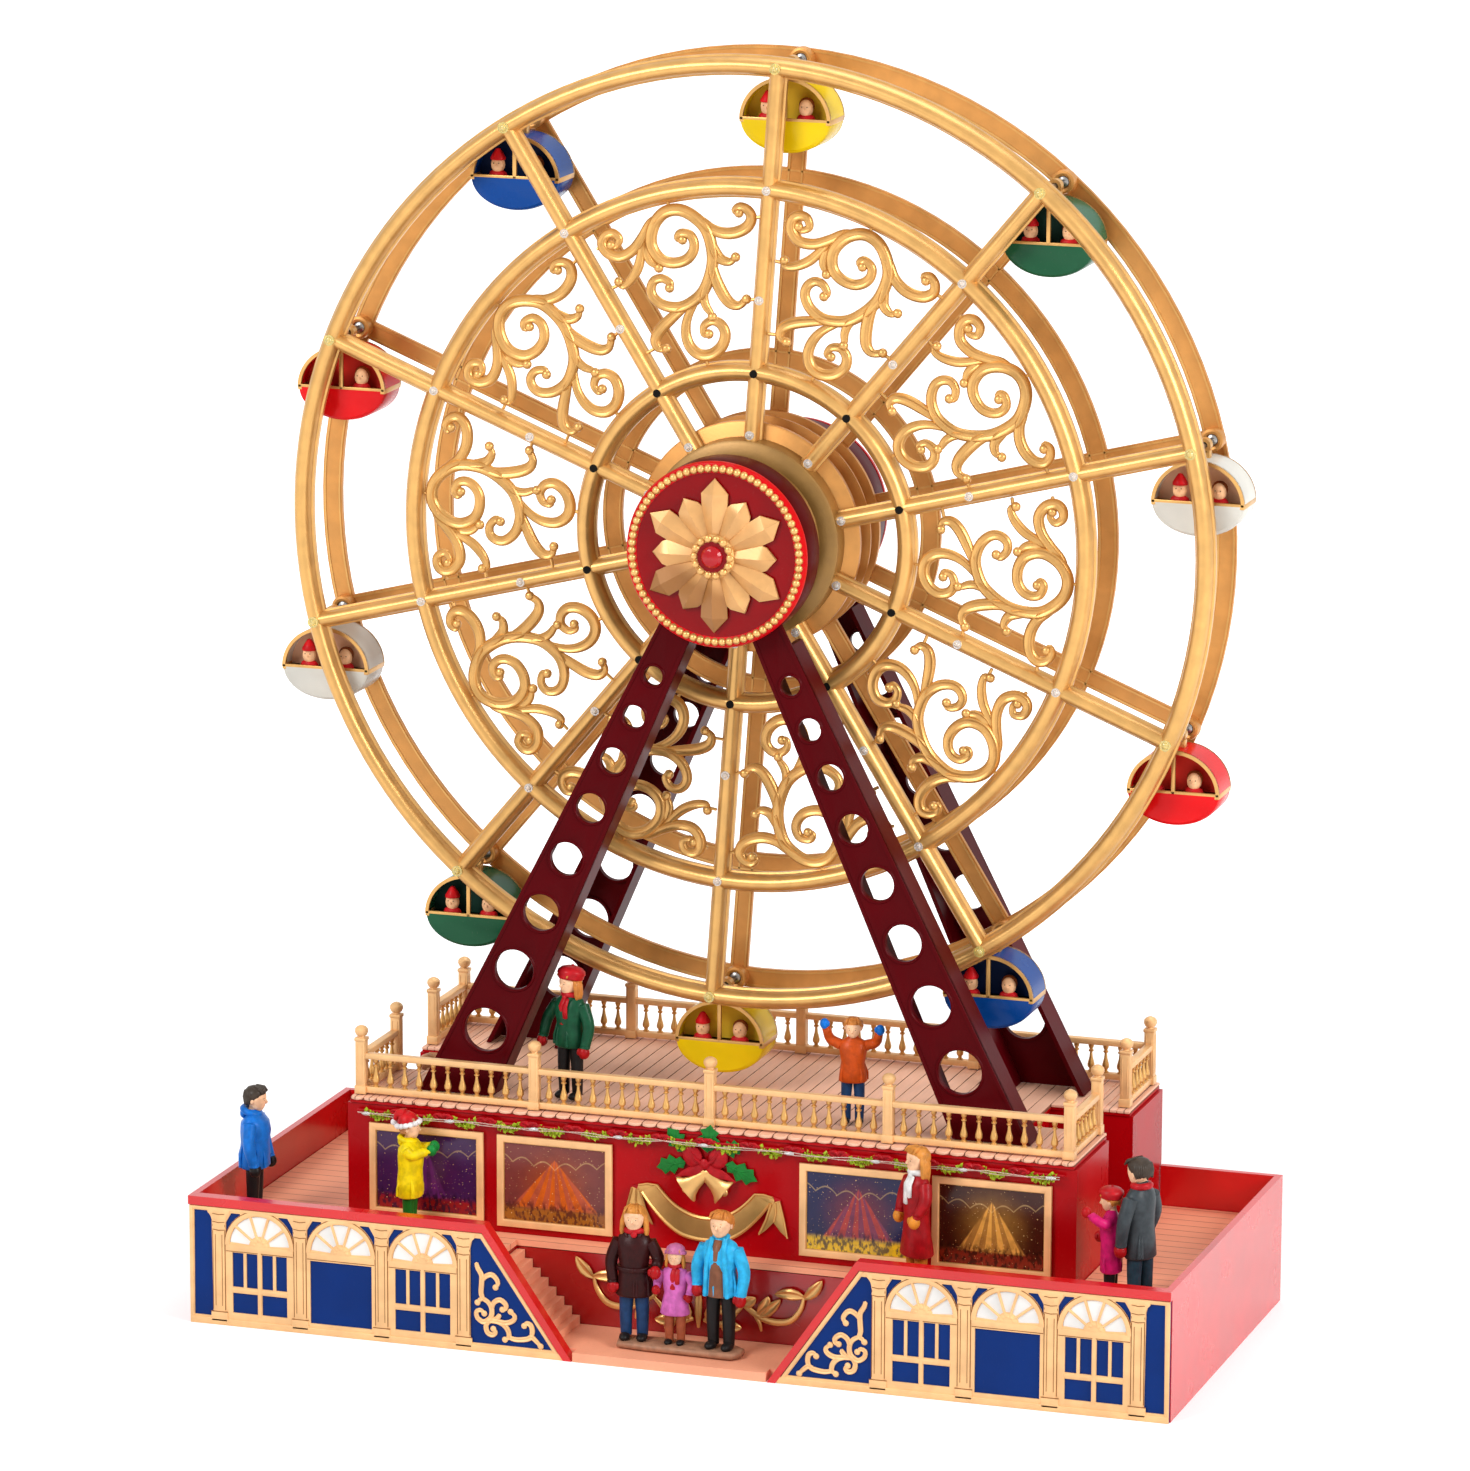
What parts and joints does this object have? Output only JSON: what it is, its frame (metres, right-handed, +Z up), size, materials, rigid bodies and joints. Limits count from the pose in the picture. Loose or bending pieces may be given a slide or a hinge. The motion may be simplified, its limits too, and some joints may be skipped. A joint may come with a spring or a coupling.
{
  "type": "musical ferris wheel decoration",
  "caption": "Table decoration with a motor driven ferris wheel of hanging cabins, on a two level base with balustrades, steps, painted figures and a garland of lights.",
  "frame": {"origin": "centre of the underside of the base", "axes": "+X to the right and +Z up as seen from the front, +Y to the back; the wheel turns about Y"},
  "size_m": [0.3414, 0.145, 0.427],
  "materials": {
    "red_shell": "glossy bright red moulding",
    "black_plastic": "matte black",
    "tan_floor": "dull tan, ribbed as planks",
    "facade_relief": "painted relief: cream gold pilasters over navy and red panels",
    "house_red": "dark red",
    "gold_trim": "metallic gold paint",
    "banner_cream": "cream ribbon with gold edges",
    "holly_green": "green leaves, gold bells and a red bow",
    "garland_green": "green garland with coloured lamps",
    "clear_wire": "clear sleeved wire",
    "maroon_support": "dark red",
    "hub_red": "glossy red with gold beads",
    "gold_star": "metallic gold paint with a red gem",
    "steel": "plain steel",
    "nylon": "white",
    "gold_wheel": "metallic gold paint",
    "yellow_cabin": "yellow with gold rims",
    "green_cabin": "dark green with gold rims",
    "white_cabin": "white with gold rims",
    "bright_red_cabin": "bright red with gold rims",
    "blue_cabin": "blue with gold rims",
    "figure_man_blue_jacket_paint": "painted casting",
    "figure_child_yellow_jumper_paint": "painted casting",
    "figure_boy_green_jacket_paint": "painted casting",
    "figure_boy_orange_jumper_paint": "painted casting",
    "figure_woman_red_coat_paint": "painted casting",
    "figure_child_beige_coat_paint": "painted casting",
    "figure_father_and_girl_paint": "painted casting",
    "figure_family_paint": "painted casting"
  },
  "bodies": {
    "base": {"base_tray": "red_shell", "bottom_cover": "black_plastic", "promenade_floor": "tan_floor", "landing_and_steps": "tan_floor", "facade_left": "facade_relief", "facade_right": "facade_relief", "house_walls": "house_red", "deck": "tan_floor", "balustrade_front": "gold_trim", "balustrade_rear": "gold_trim", "picture_frame_1": "gold_trim", "picture_frame_2": "gold_trim", "picture_frame_3": "gold_trim", "picture_frame_4": "gold_trim", "banner_ribbon": "banner_cream", "bells_and_holly": "holly_green", "vine_ornament": "gold_trim", "garland": "garland_green", "light_string": "clear_wire", "support_front": "maroon_support", "support_rear": "maroon_support", "hub_cover_front": "hub_red", "hub_cover_rear": "hub_red", "star_ornament": "gold_star", "motor": "steel", "speaker": "black_plastic", "control_panel": "black_plastic", "dc_jack": "black_plastic", "figure_man_blue_jacket": "figure_man_blue_jacket_paint", "figure_child_yellow_jumper": "figure_child_yellow_jumper_paint", "figure_boy_green_jacket": "figure_boy_green_jacket_paint", "figure_boy_orange_jumper": "figure_boy_orange_jumper_paint", "figure_woman_red_coat": "figure_woman_red_coat_paint", "figure_child_beige_coat": "figure_child_beige_coat_paint", "figure_father_and_girl": "figure_father_and_girl_paint", "figure_family": "figure_family_paint"},
    "wheel": {"wheel_front": "gold_wheel", "wheel_rear": "gold_wheel", "hub_drum": "gold_wheel", "axle": "steel", "drive_gear": "nylon"},
    "cabin_01_body": {"cabin_01": "yellow_cabin"},
    "cabin_02_body": {"cabin_02": "green_cabin"},
    "cabin_03_body": {"cabin_03": "white_cabin"},
    "cabin_04_body": {"cabin_04": "bright_red_cabin"},
    "cabin_05_body": {"cabin_05": "blue_cabin"},
    "cabin_06_body": {"cabin_06": "yellow_cabin"},
    "cabin_07_body": {"cabin_07": "green_cabin"},
    "cabin_08_body": {"cabin_08": "white_cabin"},
    "cabin_09_body": {"cabin_09": "bright_red_cabin"},
    "cabin_10_body": {"cabin_10": "blue_cabin"},
    "pinion": {"motor_pinion": "nylon"},
    "switch": {"power_switch": "black_plastic"},
    "knob": {"volume_knob": "black_plastic"}
  },
  "joints": [
    {"name": "wheel_spin", "type": "hinge", "parent": "base", "child": "wheel", "pos_m": [0, 0.01885, 0.2659], "axis": [0, 1, 0], "continuous": true},
    {"name": "cabin_hang_01", "type": "hinge", "parent": "wheel", "child": "cabin_01_body", "pos_m": [0.01082, 0.01885, 0.42303], "axis": [0, 1, 0], "continuous": true},
    {"name": "cabin_hang_02", "type": "hinge", "parent": "wheel", "child": "cabin_02_body", "pos_m": [0.10111, 0.01885, 0.38666], "axis": [0, 1, 0], "continuous": true},
    {"name": "cabin_hang_03", "type": "hinge", "parent": "wheel", "child": "cabin_03_body", "pos_m": [0.15278, 0.01885, 0.30416], "axis": [0, 1, 0], "continuous": true},
    {"name": "cabin_hang_04", "type": "hinge", "parent": "wheel", "child": "cabin_04_body", "pos_m": [0.14609, 0.01885, 0.20705], "axis": [0, 1, 0], "continuous": true},
    {"name": "cabin_hang_05", "type": "hinge", "parent": "wheel", "child": "cabin_05_body", "pos_m": [0.0836, 0.01885, 0.13242], "axis": [0, 1, 0], "continuous": true},
    {"name": "cabin_hang_06", "type": "hinge", "parent": "wheel", "child": "cabin_06_body", "pos_m": [-0.01082, 0.01885, 0.10877], "axis": [0, 1, 0], "continuous": true},
    {"name": "cabin_hang_07", "type": "hinge", "parent": "wheel", "child": "cabin_07_body", "pos_m": [-0.10111, 0.01885, 0.14514], "axis": [0, 1, 0], "continuous": true},
    {"name": "cabin_hang_08", "type": "hinge", "parent": "wheel", "child": "cabin_08_body", "pos_m": [-0.15278, 0.01885, 0.22764], "axis": [0, 1, 0], "continuous": true},
    {"name": "cabin_hang_09", "type": "hinge", "parent": "wheel", "child": "cabin_09_body", "pos_m": [-0.14609, 0.01885, 0.32475], "axis": [0, 1, 0], "continuous": true},
    {"name": "cabin_hang_10", "type": "hinge", "parent": "wheel", "child": "cabin_10_body", "pos_m": [-0.0836, 0.01885, 0.39938], "axis": [0, 1, 0], "continuous": true},
    {"name": "pinion_spin", "type": "hinge", "parent": "base", "child": "pinion", "pos_m": [0, 0.0512, 0.28565], "axis": [0, 1, 0], "continuous": true},
    {"name": "switch_slide", "type": "slide", "parent": "base", "child": "switch", "axis": [1, 0, 0], "range_m": [-0.003, 0.003]},
    {"name": "volume_turn", "type": "hinge", "parent": "base", "child": "knob", "pos_m": [-0.05467, 0.06985, 0.0145], "axis": [0, 1, 0], "range_deg": [-135, 135]}
  ],
  "couplings": [
    {"joint": "cabin_hang_01", "follows": "wheel_spin", "ratio": -1},
    {"joint": "cabin_hang_02", "follows": "wheel_spin", "ratio": -1},
    {"joint": "cabin_hang_03", "follows": "wheel_spin", "ratio": -1},
    {"joint": "cabin_hang_04", "follows": "wheel_spin", "ratio": -1},
    {"joint": "cabin_hang_05", "follows": "wheel_spin", "ratio": -1},
    {"joint": "cabin_hang_06", "follows": "wheel_spin", "ratio": -1},
    {"joint": "cabin_hang_07", "follows": "wheel_spin", "ratio": -1},
    {"joint": "cabin_hang_08", "follows": "wheel_spin", "ratio": -1},
    {"joint": "cabin_hang_09", "follows": "wheel_spin", "ratio": -1},
    {"joint": "cabin_hang_10", "follows": "wheel_spin", "ratio": -1},
    {"joint": "pinion_spin", "follows": "wheel_spin", "ratio": -2.2857}
  ]
}
